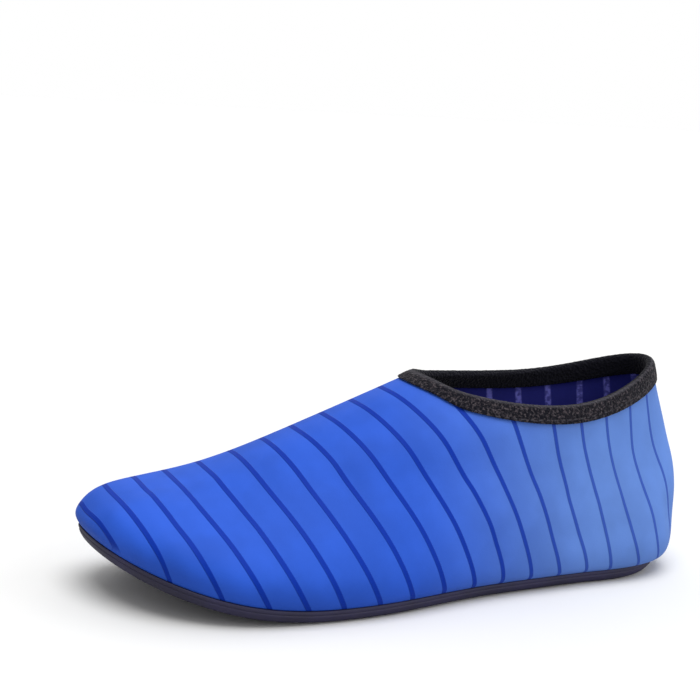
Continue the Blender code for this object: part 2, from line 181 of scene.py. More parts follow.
def mixNode(tree, factor, first, second):
    return addNode(tree, "Mix", {0: factor, 6: first, 7: second}, data_type="RGBA").outputs[2]


def noiseNode(tree, vector, scale, detail, roughness=0.5):
    values = {"Vector": vector, "Scale": scale, "Detail": detail, "Roughness": roughness}
    return addNode(tree, "TexNoise", values).outputs[0]


def attributeNode(tree, name):
    return addNode(tree, "Attribute", {}, attribute_name=name).outputs["Fac"]


def objectCoordinates(tree):
    return tree.nodes.new("ShaderNodeTexCoord").outputs["Object"]


def cameraRay(tree):
    return tree.nodes.new("ShaderNodeLightPath").outputs["Is Camera Ray"]


def bumpNode(tree, height, distance, strength=1.0, normal=None):
    values = {"Height": height, "Distance": distance, "Strength": strength}
    if normal is not None:
        values["Normal"] = normal
    return addNode(tree, "Bump", values).outputs["Normal"]


def grainGroup():  # fine uneven grain: a height, and patches of darker and lighter tone
    group = bpy.data.node_groups.new("grain", "ShaderNodeTree")
    for name, way, kind in (("Vector", "INPUT", "Vector"), ("Scale", "INPUT", "Float"),
                            ("Height", "OUTPUT", "Float"), ("Patches", "OUTPUT", "Float")):
        group.interface.new_socket(name, in_out=way, socket_type="NodeSocket" + kind)
    start, end = (group.nodes.new("NodeGroup" + way) for way in ("Input", "Output"))
    place, scale = start.outputs["Vector"], start.outputs["Scale"]
    cells = addNode(group, "TexVoronoi", {"Vector": place, "Scale": scale}).outputs["Distance"]
    height = mathNode(group, "MULTIPLY_ADD", cells, 0.5, noiseNode(group, place, scale, 4.0))
    feed(group, end, {"Height": height, "Patches": noiseNode(group, place, 45.0, 3.0)})
    return group


grain = grainGroup()


def grainNode(tree, scale):
    values = {"Scale": scale, "Vector": objectCoordinates(tree)}
    node = addNode(tree, "Group", values, node_tree=grain)
    return node.outputs["Height"], node.outputs["Patches"]


# Camera: at the photograph's angle, rolled a little, with the lens axis in the middle of the frame

camera = {
    "azimuth": 24.0, "elevation": 17.8, "roll": -3.38,  # degrees, seen from the outer side
    "distance": 0.6, "sensor": 36,  # metres, mm
    "focal": 1481.6, "frame": 700,  # pixels
    "target": (383.48, 573.75),     # pixel of the point on the ground under the middle of the sole
}


def addCamera():
    turn, climb, roll = (math.radians(camera[key]) for key in ("azimuth", "elevation", "roll"))
    back = Vector((math.sin(turn) * math.cos(climb), math.cos(turn) * math.cos(climb), math.sin(climb)))
    right = Vector((-math.cos(turn), math.sin(turn), 0))
    up = back.cross(right)
    rolledRight = right * math.cos(roll) - up * math.sin(roll)
    rolledUp = right * math.sin(roll) + up * math.cos(roll)
    level = Matrix((rolledRight, rolledUp, back)).transposed()
    across, down = ((place - camera["frame"] / 2) / camera["focal"] for place in camera["target"])
    aim = Vector((across, -down, -1)).rotation_difference(Vector((0, 0, -1))).to_matrix()
    target = Vector(((soleLow.x + soleHigh.x) / 2, middleLine, 0))
    data = bpy.data.cameras.new("camera")
    data.sensor_width = camera["sensor"]
    data.lens = camera["focal"] / camera["frame"] * data.sensor_width
    view = bpy.data.objects.new("camera", data)
    view.matrix_world = Matrix.Translation(target + back * camera["distance"]) @ (level @ aim).to_4x4()
    scene.collection.objects.link(view)
    scene.camera = view


addCamera()
print("camera done")


# Room: pale floor and soft studio light

room = {
    "radius": 40.0, "below": 0.05 * mm,
    "seen": (0.97, 0.97, 0.96), "bounce": (0.52, 0.52, 0.53),  # floor as seen, and as it lights
    "world": 0.38, "backdrop": 1.0,
    "lights": (
        # name, direction that it comes from, angle across in degrees, strength
        ("key", (0.0, 0.2, 1.0), 45, 1.6),
        ("sideFill", (-0.6, 1.0, 0.4), 50, 0.5),
        ("heelFill", (-1.0, 0.2, 0.5), 50, 0.45),
        ("backFill", (-0.3, -0.8, 1.0), 60, 0.5),
    ),
}


def addRoom():
    bpy.ops.object.select_all(action="DESELECT")
    bpy.ops.mesh.primitive_circle_add(vertices=64, radius=room["radius"], fill_type="NGON",
                                      location=(0, 0, -room["below"]))
    floor = bpy.context.active_object
    floor.name = "floor"
    bpy.ops.object.transform_apply(location=True, rotation=True, scale=True)
    material, tree, shader = newMaterial("paleFloor")
    feed(tree, shader, {"Base Color": mixNode(tree, cameraRay(tree), room["bounce"], room["seen"]),
                        "Roughness": 0.9, "Specular IOR Level": 0.1})
    floor.data.materials.append(material)
    world = bpy.data.worlds.new("studio")
    world.use_nodes = True
    tree = world.node_tree
    strength = rangeNode(tree, cameraRay(tree), 0.0, 1.0, room["world"], room["backdrop"])
    feed(tree, tree.nodes["Background"], {"Color": (1, 1, 1), "Strength": strength})
    scene.world = world
    for name, direction, angle, strength in room["lights"]:
        lamp = bpy.data.lights.new(name, "SUN")
        lamp.angle, lamp.energy = math.radians(angle), strength
        light = bpy.data.objects.new(name, lamp)
        light.location = direction
        light.rotation_euler = Vector(direction).to_track_quat("Z", "Y").to_euler()
        scene.collection.objects.link(light)
    scene.view_settings.view_transform = "Standard"


addRoom()
print("room done")


# Upper: the fixed shell, smoothed, with creases and the field that its stripes follow

upper = {
    "levels": 2, "grain": 1400, "liningGrain": 1100,  # cells a metre
    "ridge": ((-116, -5.3), (-56, -2.5), (-8, -4.4), (52, -9.1), (100, -14.7), (124, -19.3)),  # mm
    # Painted light: the heel is painted a paler, brighter blue, as where light falls more strongly on it;
    # it fades in over the first places given below
    "blue": (0.030, 0.122, 0.710), "litHeelBlue": (0.138, 0.280, 0.745), "stripe": (0.0, 0.033, 0.420),
    "heelLightFade": (-80 * mm, 20 * mm), "stripeFade": (-90 * mm, 0.0),  # places along the foot
    "stripeWidth": 1.9 * mm, "heelStripeWidth": 1.4 * mm, "stripeEdge": 0.3,  # edge in mm
    "stripeStrength": 0.97, "heelStripeStrength": 0.68,
    "stripes": (0.5, 18.5), "firstStripe": 1.5, "firstEnds": (20 * mm, 25 * mm),
    "stripeDepth": 0.25 * mm, "quiltDepth": 0.25 * mm,
    "lining": (0.010, 0.014, 0.250), "liningBar": (0.230, 0.230, 0.850), "barEdge": (0.9, 1.7),  # mm
    "foot": (-80 * mm, 90 * mm), "footHeight": 25 * mm,  # line inside the upper that its lining faces
    "seamSide": -4.6 * mm, "seamFrom": -95 * mm, "seamWidth": 2.4 * mm, "seamDepth": 0.9 * mm,
    "stitch": 2.2 * mm, "thread": (0.15 * mm, 0.45 * mm), "threadDepth": 0.35 * mm,
}
fold = {  # in front of the ankle, in mm: how far it moves, and where the move grows and fades
    "move": (-3.4, 0.0, 1.4), "grows": (-18, 2), "fades": (4, 26), "above": (50, 62),
}

# Where each stripe meets the sole, and how far forward it has come further up the side
stripeAngles = (8, 30, 60, 84)  # degrees up from the ground
stripeRows = (
    # foot, at30, at60, at84, all in mm
    (118.0, 9.2, 16.2, 17.4),
    (106.0, 9.2, 16.2, 17.4),
    (97.3, 8.6, 14.8, 17.2),
    (83.7, 10.3, 17.3, 19.0),
    (69.6, 11.4, 19.2, 21.3),
    (56.1, 11.6, 19.5, 22.4),
    (42.4, 10.9, 20.4, 23.5),
    (27.6, 11.4, 22.0, 26.5),
    (13.2, 10.5, 22.8, 30.2),
    (-1.7, 9.6, 24.0, 33.4),
    (-15.9, 8.2, 23.8, 36.3),
    (-29.0, 6.0, 21.9, 38.0),
    (-42.6, 5.8, 20.3, 40.0),
    (-56.6, 6.2, 18.3, 37.0),
    (-69.6, 5.6, 15.6, 27.0),
    (-81.0, 4.3, 13.0, 27.0),
    (-94.8, 5.5, 12.8, 27.0),
    (-106.0, 5.7, 7.8, 20.0),
    (-117.0, 5.0, 5.0, 14.0),
    (-129.0, 4.0, 5.0, 14.0),
    (-141.0, 4.0, 5.0, 14.0),
)
winding = {  # how the place along the foot turns round the heel, and the angle over the top
    "centre": -85 * mm, "radius": 30 * mm, "soft": 6 * mm, "overFrom": 70, "overRun": 20,
}


def ridgeAt(x):  # middle line of the upper's top
    places, values = zip(*upper["ridge"])
    return np.interp(x / mm, places, values) * mm


def footField(points):  # place along the foot, wound round the heel, and angle up from the ground
    x, y, z = points.T
    aside = np.sqrt((y - ridgeAt(x)) ** 2 + winding["soft"] ** 2)
    behind = np.maximum(winding["centre"] - x, 0)
    reach = np.hypot(behind, aside)
    along = np.maximum(x, winding["centre"]) - winding["radius"] * np.arctan2(behind, aside)
    angle = np.degrees(np.arctan2(z, reach))
    start, run = winding["overFrom"], winding["overRun"]
    over = np.clip((angle - start) / run, 0, 1)
    return along, np.minimum(angle, start) + run * (over - over**3 / 3)


def smoothTable(places, values, wanted):  # smooth curve through the rows of a table
    slopes = np.gradient(values, places)
    i = np.clip(np.searchsorted(places, wanted) - 1, 0, len(places) - 2)
    step = places[i + 1] - places[i]
    t = (wanted - places[i]) / step
    return ((2 * t**3 - 3 * t**2 + 1) * values[i] + (t**3 - 2 * t**2 + t) * step * slopes[i]
            + (3 * t**2 - 2 * t**3) * values[i + 1] + (t**3 - t**2) * step * slopes[i + 1])


def stripeField(points):  # a whole number on the middle line of each stripe, and even between them
    along, angle = footField(points)
    rows = np.array(stripeRows)
    places = np.arange(len(rows))
    numbers = np.arange(0, places[-1] + 0.01, 0.25)
    foot, at30, at60, at84 = (smoothTable(places, rows[:, column], numbers) for column in range(4))
    weights = [np.prod([(angle - other) / (knot - other) for other in stripeAngles if other != knot],
                       axis=0) for knot in stripeAngles]
    places = (foot[:, None] + at30[:, None] * weights[1] + at60[:, None] * weights[2]
              + at84[:, None] * weights[3]) * mm
    passed = (places > along).sum(axis=0)
    before = np.clip(passed - 1, 0, len(numbers) - 2)
    rowsOf = np.arange(len(along))
    near, far = places[before, rowsOf], places[before + 1, rowsOf]
    return numbers[before] + (near - along) / (near - far) * (numbers[1] - numbers[0])


def stripeSpacing(piece, field):  # millimetres from one stripe to the next, on the surface
    mesh = piece.data
    mesh.calc_loop_triangles()
    corners = np.empty(len(mesh.loop_triangles) * 3, int)
    mesh.loop_triangles.foreach_get("vertices", corners)
    corners = corners.reshape(-1, 3)
    points = pointsOf(piece)
    a, b, c = (points[corners[:, i]] for i in range(3))
    normal = np.cross(b - a, c - a)
    double = np.linalg.norm(normal, axis=1) + 1e-12
    unit = normal / double[:, None]
    slope = (np.cross(unit, c - b) * field[corners[:, 0]][:, None]
             + np.cross(unit, a - c) * field[corners[:, 1]][:, None]
             + np.cross(unit, b - a) * field[corners[:, 2]][:, None]) / double[:, None]
    steep = np.linalg.norm(slope, axis=1)
    total, weight = np.zeros(len(points)), np.zeros(len(points))
    for i in range(3):
        np.add.at(total, corners[:, i], steep * double)
        np.add.at(weight, corners[:, i], double)
    spacing = 1 / np.maximum(total / weight, 20.0)
    return np.clip(spacing, 6 * mm, 20 * mm) / mm


# Creases, as soft troughs (depth above nought) and swells along lines on the surface
creases = (
    # depth, half width, and places, all in mm
    (-1.3, 8, ((123, -14, 31), (121, -4, 31), (117, 6, 31), (111, 15, 30), (102, 26, 28),
               (86, 36, 27), (66, 42, 25))),
    (0.9, 6, ((122, -2, 27), (121, 6, 26), (114, 19, 22), (107, 29, 19), (93, 40, 15), (80, 46, 12))),
    (-0.8, 8, ((104, -6, 38), (100, 8, 37), (92, 20, 35))),
    (0.6, 9, ((82, 0, 43), (78, 18, 39), (72, 33, 33))),
    (0.8, 9, ((38, 16, 54), (34, 34, 40), (30, 47, 22))),
    (0.9, 9, ((-30, 24, 68), (-40, 28, 56), (-50, 31, 42))),
    (-0.7, 9, ((-14, 31, 50), (-18, 35, 38), (-24, 38, 22))),
    (0.8, 9, ((-60, 29, 44), (-60, 32, 30), (-58, 33, 14))),
    (-0.6, 8, ((-70, 25, 60), (-76, 27, 44), (-80, 28, 28))),
    (0.7, 8, ((-92, 16, 62), (-98, 21, 44), (-96, 25, 24))),
    (-0.9, 7, ((-106, 20, 42), (-116, 12, 43), (-119, -5, 44), (-116, -22, 43), (-106, -30, 42))),
    (1.3, 9, ((-104, 25, 25), (-113, 18, 25), (-117, -5, 25), (-113, -28, 25), (-104, -35, 25))),
    (1.0, 8, ((112, -38, 26), (100, -44, 22), (84, -47, 17))),
    (0.8, 9, ((50, -30, 44), (44, -38, 30), (40, -42, 18))),
    (0.8, 9, ((5, -27, 50), (0, -32, 36), (-4, -36, 20))),
)
creasing = {  # line that creases point away from, run in at their ends, and heights where they begin
    "reach": 0.93, "height": 20 * mm, "ends": 0.3, "glued": (soleTop * mm, 9 * mm),
}


def nearLine(points, line):  # how far points are from a line through places, and how far along it
    gaps = np.full(len(points), np.inf)
    along = np.zeros(len(points))
    for i, (start, end) in enumerate(zip(line, line[1:])):
        run = end - start
        share = np.clip((points - start) @ run / (run @ run), 0, 1)
        gap = np.linalg.norm(points - start - share[:, None] * run, axis=1)
        closer = gap < gaps
        gaps[closer] = gap[closer]
        along[closer] = (i + share[closer]) / (len(line) - 1)
    return gaps, along


def crease(points):
    middle = np.column_stack((points[:, 0] * creasing["reach"], ridgeAt(points[:, 0]),
                              np.full(len(points), creasing["height"])))
    outwards = points - middle
    outwards /= np.linalg.norm(outwards, axis=1)[:, None] + 1e-9
    depth = np.zeros(len(points))
    for deep, width, places in creases:
        gap, along = nearLine(points, np.array(places) * mm)
        fade = smoothStep(0, creasing["ends"], along) * smoothStep(0, creasing["ends"], 1 - along)
        depth += deep * mm * np.exp(-(gap / (width * mm)) ** 2) * fade
    depth *= smoothStep(*creasing["glued"], points[:, 2] - lift(points[:, 0]))
    return points - outwards * depth[:, None]


def pulledBack(points):  # the fold in front of the ankle sits a little further back
    x, z = points[:, 0] / mm, points[:, 2] / mm
    share = smoothStep(*fold["grows"], x) * (1 - smoothStep(*fold["fades"], x))
    share *= smoothStep(*fold["above"], z)
    return points + share[:, None] * (np.array(fold["move"]) * mm)


def heelSeam(tree, split):  # upright seam at the back, closed by a zigzag stitch
    behind = mathNode(tree, "LESS_THAN", split.outputs["X"], upper["seamFrom"])
    offset = mathNode(tree, "SUBTRACT", split.outputs["Y"], upper["seamSide"])
    ridge = rangeNode(tree, mathNode(tree, "ABSOLUTE", offset), 0.0, upper["seamWidth"], 1.0, 0.0)
    turn = mathNode(tree, "PINGPONG", split.outputs["Z"], upper["stitch"] / 2)
    swing = mathNode(tree, "MULTIPLY", mathNode(tree, "SUBTRACT", turn, upper["stitch"] / 4),
                     upper["seamWidth"] / upper["stitch"] * 2)
    gap = mathNode(tree, "ABSOLUTE", mathNode(tree, "SUBTRACT", offset, swing))
    thread = rangeNode(tree, gap, *upper["thread"], 1.0, 0.0)
    return mathNode(tree, "MULTIPLY", ridge, behind), mathNode(tree, "MULTIPLY", thread, behind)


def stripeNodes(tree):  # number of the stripe, share of the way from the nearest one, and mm to it
    field = attributeNode(tree, "stripeField")
    wave = mathNode(tree, "SUBTRACT", mathNode(tree, "FRACT", mathNode(tree, "ADD", field, 0.5)), 0.5)
    offset = mathNode(tree, "MULTIPLY", wave, attributeNode(tree, "stripeSpacing"))
    return field, wave, mathNode(tree, "ABSOLUTE", offset)


def stripedFabric():
    material, tree, shader = newMaterial("stripedStretch")
    height, patches = grainNode(tree, upper["grain"])
    split = addNode(tree, "SeparateXYZ", {0: objectCoordinates(tree)})
    place = split.outputs["X"]
    field, wave, distance = stripeNodes(tree)
    half = rangeNode(tree, place, *upper["stripeFade"],
                     upper["heelStripeWidth"] / mm / 2, upper["stripeWidth"] / mm / 2)
    inside = mathNode(tree, "DIVIDE", mathNode(tree, "SUBTRACT", half, distance), upper["stripeEdge"])
    band = mathNode(tree, "ADD", inside, 0.5, clamp=True)
    lowest, highest = upper["stripes"]
    inRange = mathNode(tree, "MULTIPLY", mathNode(tree, "GREATER_THAN", field, lowest),
                       mathNode(tree, "LESS_THAN", field, highest))
    pastFirst = rangeNode(tree, field, upper["firstStripe"] - 0.1, upper["firstStripe"] + 0.1, 0.0, 1.0)
    first = mathNode(tree, "MAXIMUM", pastFirst,
                     rangeNode(tree, split.outputs["Z"], *upper["firstEnds"], 0.0, 1.0))
    band = mathNode(tree, "MULTIPLY", band, first)  # the first stripe fades out above the sole
    band = mathNode(tree, "MULTIPLY", band, inRange)
    # Painted light: the blue turns paler and brighter towards the heel, as if lit more there
    heelLight = rangeNode(tree, place, *upper["heelLightFade"], 1.0, 0.0)
    toned = addNode(tree, "HueSaturation", {
        "Color": mixNode(tree, heelLight, upper["blue"], upper["litHeelBlue"]),
        "Value": rangeNode(tree, patches, 0.3, 0.7, 0.92, 1.08),
    })
    strength = rangeNode(tree, place, *upper["stripeFade"],
                         upper["heelStripeStrength"], upper["stripeStrength"])
    colour = mixNode(tree, mathNode(tree, "MULTIPLY", band, strength), toned.outputs[0], upper["stripe"])
    puff = mathNode(tree, "COSINE", mathNode(tree, "MULTIPLY", wave, 2 * math.pi))
    quilt = mathNode(tree, "MULTIPLY", mathNode(tree, "MULTIPLY", puff, -0.5), inRange)
    ribbed = bumpNode(tree, band, upper["stripeDepth"], 1.0, bumpNode(tree, quilt, upper["quiltDepth"]))
    seam, stitches = heelSeam(tree, split)
    sewn = bumpNode(tree, seam, upper["seamDepth"], 1.0, ribbed)
    sewn = bumpNode(tree, stitches, upper["threadDepth"], 1.0, sewn)
    feed(tree, shader, {
        "Base Color": colour, "Normal": bumpNode(tree, height, 0.06 * mm, 0.6, sewn),
        "Roughness": 0.6, "Specular IOR Level": 0.12,
        "Sheen Weight": 0.1, "Sheen Roughness": 0.4, "Sheen Tint": (0.25, 0.5, 1.0),
    })
    return material


def liningFabric():
    material, tree, shader = newMaterial("navyLining")
    bar = rangeNode(tree, stripeNodes(tree)[2], *upper["barEdge"], 1.0, 0.0)
    worn = noiseNode(tree, objectCoordinates(tree), 420.0, 3.0, 0.6)
    ragged = mathNode(tree, "MULTIPLY", bar, rangeNode(tree, worn, 0.38, 0.6, 0.25, 1.0))
    feed(tree, shader, {
        "Base Color": mixNode(tree, ragged, upper["lining"], upper["liningBar"]),
        "Normal": bumpNode(tree, grainNode(tree, upper["liningGrain"])[0], 0.12 * mm, 0.6),
        "Roughness": 0.85, "Sheen Weight": 0.3, "Sheen Tint": (0.4, 0.4, 0.9),
    })
    return material


def makeUpper():
    piece = mergedCopy("upper", "stretchUpper")
    smoothed(piece, upper["levels"])
    setPoints(piece, pulledBack(crease(pointsOf(piece))))
    points = pointsOf(piece)
    field = stripeField(points)
    setAttribute(piece, "stripeField", field)
    setAttribute(piece, "stripeSpacing", stripeSpacing(piece, field))
    piece.data.materials.append(stripedFabric())
    piece.data.materials.append(liningFabric())
    for face in piece.data.polygons:  # faces that look towards the foot take the lining
        inside = float(np.clip(face.center.x, *upper["foot"]))
        middle = Vector((inside, float(ridgeAt(inside)), upper["footHeight"]))
        face.material_index = 1 if face.normal.dot(face.center - middle) < 0 else 0
    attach(piece, "root")
    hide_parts("upper")
    return piece


stretchUpper = makeUpper()
print("upper done:", len(stretchUpper.data.polygons), "faces")


# Collar binding: folded knitted tape

binding = {
    "levels": 3, "loopDepth": 0.1 * mm, "loop": 950.0, "grain": 900,  # loops and cells a metre
    # The edge colour is the stitching thread's own colour, and it is also a painted highlight along the
    # tape's top edge, where the fold catches the light
    "black": (0.0050, 0.0050, 0.0105), "fleck": (0.100, 0.082, 0.092), "edge": (0.070, 0.066, 0.080),
    "edgeHighlightWidth": 1.0, "stitchDown": 5.4, "stitches": 84,  # mm, mm, number once round
    "opening": (-88 * mm, -20 * mm), "sectors": 128,
}


def collarPlaces(points):  # how far down from the collar's edge, and the share of the way round it
    middle = points[:, :2].mean(axis=0)
    turn = np.arctan2(*(points[:, :2] - middle).T[::-1])
    sectors = binding["sectors"]
    bins = np.linspace(-math.pi, math.pi, sectors + 1)
    centres = (bins[:-1] + bins[1:]) / 2
    place = np.clip(np.digitize(turn, bins) - 1, 0, sectors - 1)
    edge = np.array([points[place == i][points[place == i, 2].argmax()] for i in range(sectors)])
    gone = np.cumsum(np.linalg.norm(edge - np.roll(edge, 1, axis=0), axis=1))
    down = np.interp(turn, centres, edge[:, 2], period=2 * math.pi) - points[:, 2]
    share = np.interp(turn, centres, gone / gone[-1])
    return down / mm, share


def knittedTape():
    material, tree, shader = newMaterial("blackKnit")
    coordinates = objectCoordinates(tree)
    down, stitch = attributeNode(tree, "tapeDown"), attributeNode(tree, "tapeStitch")
    outer = attributeNode(tree, "tapeOuter")
    flecks = noiseNode(tree, coordinates, binding["loop"], 4.0, 0.75)
    speckle = mathNode(tree, "MULTIPLY", rangeNode(tree, flecks, 0.49, 0.63, 0.0, 0.9), outer)
    base = mixNode(tree, speckle, binding["black"], binding["fleck"])
    # Painted highlight: the outer face is painted lighter just below the tape's top edge
    litTopEdge = mathNode(tree, "MULTIPLY", rangeNode(tree, down, 0.3, binding["edgeHighlightWidth"], 0.7, 0.0), outer)
    baseWithHighlight = mixNode(tree, litTopEdge, base, binding["edge"])
    toRow = mathNode(tree, "ABSOLUTE", mathNode(tree, "SUBTRACT", down, binding["stitchDown"]))
    row = rangeNode(tree, toRow, 0.15, 0.4, 1.0, 0.0)
    sewn = mathNode(tree, "MULTIPLY", row, rangeNode(tree, stitch, -0.2, 0.3, 0.0, 0.8))
    sewn = mathNode(tree, "MULTIPLY", sewn, outer)
    cells = addNode(tree, "TexVoronoi", {"Scale": binding["loop"], "Vector": coordinates})
    loops = bumpNode(tree, cells.outputs["Distance"], 0.7 * mm, 0.9)
    stitched = bumpNode(tree, sewn, 0.3 * mm, 1.0, loops)
    feed(tree, shader, {
        "Base Color": mixNode(tree, sewn, baseWithHighlight, binding["edge"]),
        "Normal": bumpNode(tree, grainNode(tree, binding["grain"])[0], 0.12 * mm, 0.6, stitched),
        "Roughness": 0.92, "Specular IOR Level": 0.15, "Sheen Weight": 0.08,
    })
    return material


def makeBinding():
    piece = mergedCopy("collar_binding", "collarTape")
    smoothed(piece, binding["levels"])
    points = pulledBack(pointsOf(piece))
    setPoints(piece, points)
    inner = np.column_stack((points[:, 0], ridgeAt(points[:, 0]))) - points[:, :2]
    inner[:, 0] = np.clip(points[:, 0], *binding["opening"]) - points[:, 0]
    facing = (normalsOf(piece)[:, :2] * inner).sum(axis=1) / np.linalg.norm(inner, axis=1)
    setAttribute(piece, "tapeOuter", smoothStep(-0.1, 0.35, -facing))
    down, share = collarPlaces(points)
    setAttribute(piece, "tapeDown", down)
    setAttribute(piece, "tapeStitch", np.cos(share * binding["stitches"] * 2 * math.pi))
    rough = [noise.noise(Vector(point) * binding["loop"]) for point in points]
    setPoints(piece, points + normalsOf(piece) * np.array(rough)[:, None] * binding["loopDepth"])
    piece.data.materials.append(knittedTape())
    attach(piece, "root")
    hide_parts("collar_binding")
    return piece


collarTape = makeBinding()
print("binding done:", len(collarTape.data.polygons), "faces")


# Sole: moulded body

sole = {
    "wallLevels": (soleTop, 2.475, 0.765, 0.15),  # mm, where the fixed sole's wall turns
    "border": 3.6, "topInset": 2.2,  # mm
    "panel": ((0.25, 0), (0.333, 2.8), (0.42, 6.7), (0.5, 4.3), (0.58, 0)),  # share of the length, mm
    "heelFrom": -92 * mm, "heelRun": 24 * mm, "heelRise": 2.8 * mm,  # lower edge rises at the very back
    "along": 26, "across": 6, "levels": 2,
    "black": (0.034, 0.029, 0.078), "grain": 700,  # cells a metre
}

# Rings from the top plate over a low bead and down the wall to the ground,
# then in over the border and up to the tread's floor
wallSteps = (
    # height, how far in from the wall, in mm
    (5.1, 1.4), (5.3, 0.8), (5.15, 0.35), (4.75, 0.05), (4.3, 0.0), (3.85, 0.0), (3.7, 0.3), (3.45, 0.3),
    (3.3, 0.0), (2.475, 0.0), (1.6, 0.0), (0.765, 0.0), (0.35, 0.0), (0.15, 0.0), (0.15, 0.9),
)
borderSteps = ((0.15, -0.5), (0.2, 0.0), (0.5, 0.15), (1.3, 0.3), (1.5, 0.5), (1.5, 1.2))


def lifted(piece, sign=1):  # bend a flat piece up at the toe and the very heel, or back flat at the toe
    points = pointsOf(piece)
    if sign > 0:
        back = np.clip((sole["heelFrom"] - points[:, 0]) / sole["heelRun"], 0, 1) ** 2
        points[:, 2] += back * sole["heelRise"] * np.clip(1 - points[:, 2] / (soleTop * mm), 0, 1)
    points[:, 2] += sign * lift(points[:, 0])
    setPoints(piece, points)


def inwards(ring):  # unit directions into a ring that runs anticlockwise
    ahead = np.roll(ring, -1, axis=0) - np.roll(ring, 1, axis=0)
    side = np.column_stack((-ahead[:, 1], ahead[:, 0]))
    return side / np.linalg.norm(side, axis=1)[:, None]


def wallRings():  # outlines of the fixed sole at the turns of its wall, from the heel, anticlockwise
    shape = mergedCopy("outsole", "soleShape", quads=False)
    lifted(shape, -1)
    points = pointsOf(shape)
    bpy.data.objects.remove(shape)
    rings = []
    for level in sole["wallLevels"]:
        flat = points[np.abs(points[:, 2] - level * mm) < 0.03 * mm][:, :2]
        if rings:
            gaps = np.linalg.norm(flat[None] - rings[-1][:, None], axis=2)
            rings.append(flat[gaps.argmin(axis=1)])
        else:
            heel = flat[flat[:, 0].argmin()]
            turn = np.arctan2(flat[:, 1] - heel[1], flat[:, 0] - (soleLow.x + soleHigh.x) / 2)
            rings.append(flat[np.argsort(np.mod(turn + math.pi + 1e-6, 2 * math.pi))])
    return rings


def wallAt(rings, height, inset):
    heights, upwards = sole["wallLevels"][::-1], rings[::-1]
    index = int(np.clip(np.searchsorted(heights, height) - 1, 0, len(heights) - 2))
    share = (height - heights[index]) / (heights[index + 1] - heights[index])
    ring = upwards[index] + (upwards[index + 1] - upwards[index]) * share
    return np.column_stack((ring + inwards(ring) * inset * mm, np.full(len(ring), height * mm)))


def borderAt(rings, height, inset):  # inner edge of the border, wider at the plain panel of the arch
    ring = rings[-1]
    share = (ring[:, 0] - soleLow.x) / soleLength
    width = np.interp(share, *zip(*sole["panel"])) * (ring[:, 1] < middleLine) + sole["border"] + inset
    return np.column_stack((ring + inwards(ring) * width[:, None] * mm, np.full(len(ring), height * mm)))


def plateFromLoop(name, loop, along, across):  # grid of quads stretched over a closed loop
    bpy.ops.object.select_all(action="DESELECT")
    bpy.ops.mesh.primitive_grid_add(x_subdivisions=along, y_subdivisions=across, size=2)
    piece = bpy.context.active_object
    piece.name = name
    places = pointsOf(piece)
    column = np.rint((places[:, 0] + 1) / 2 * along).astype(int)
    row = np.rint((places[:, 1] + 1) / 2 * across).astype(int)
    front = np.vstack((loop, loop[:1]))
    near, right = front[:along + 1], front[along:along + across + 1]
    far, left = front[along + across:2 * along + across + 1][::-1], front[2 * along + across:][::-1]
    u, v = (column / along)[:, None], (row / across)[:, None]
    corners = (1 - u) * (1 - v) * near[0] + u * (1 - v) * near[-1] + (1 - u) * v * far[0] + u * v * far[-1]
    edges = (1 - v) * near[column] + v * far[column] + (1 - u) * left[row] + u * right[row]
    setPoints(piece, edges - corners)
    return piece


def extendEdge(piece, rings):  # extrude the open edge that lies on the first ring, from ring to ring
    for ring, target in zip(rings, rings[1:]):
        edited(piece, "EDGE")
        bpy.ops.mesh.select_non_manifold()
        bpy.ops.mesh.extrude_region_move()
        bpy.ops.object.mode_set(mode="OBJECT")
        chosen = np.empty(len(piece.data.vertices), bool)
        piece.data.vertices.foreach_get("select", chosen)
        points = pointsOf(piece)
        gaps = np.linalg.norm(points[chosen][:, None] - ring[None], axis=2)
        points[chosen] = target[gaps.argmin(axis=1)]
        setPoints(piece, points)


def joined(pieces):
    bpy.ops.object.select_all(action="DESELECT")
    for piece in pieces:
        piece.select_set(True)
    bpy.context.view_layer.objects.active = pieces[0]
    bpy.ops.object.join()
    return pieces[0]


def makeSoleBody(rings):
    steps = [wallAt(rings, soleTop, sole["topInset"])]
    steps += [wallAt(rings, height, inset) for height, inset in wallSteps]
    steps += [borderAt(rings, height, inset) for height, inset in borderSteps]
    corner = -(sole["across"] // 2)
    body, floor = (plateFromLoop(name, np.roll(loop, corner, axis=0), sole["along"], sole["across"])
                   for name, loop in (("soleBody", steps[0]), ("treadFloor", steps[-1])))
    extendEdge(body, steps)
    joined([body, floor])
    edited(body, action="SELECT")
    bpy.ops.mesh.remove_doubles(threshold=0.01 * mm)
    facedOutwards()
    smoothed(body, sole["levels"])
    lifted(body)
    return body


# Tread: hexagon lugs, round pads, and the toe's plate with long pads, blocks and buttons.
# Places are in mm: along from the heel, and across from the sole's middle line.

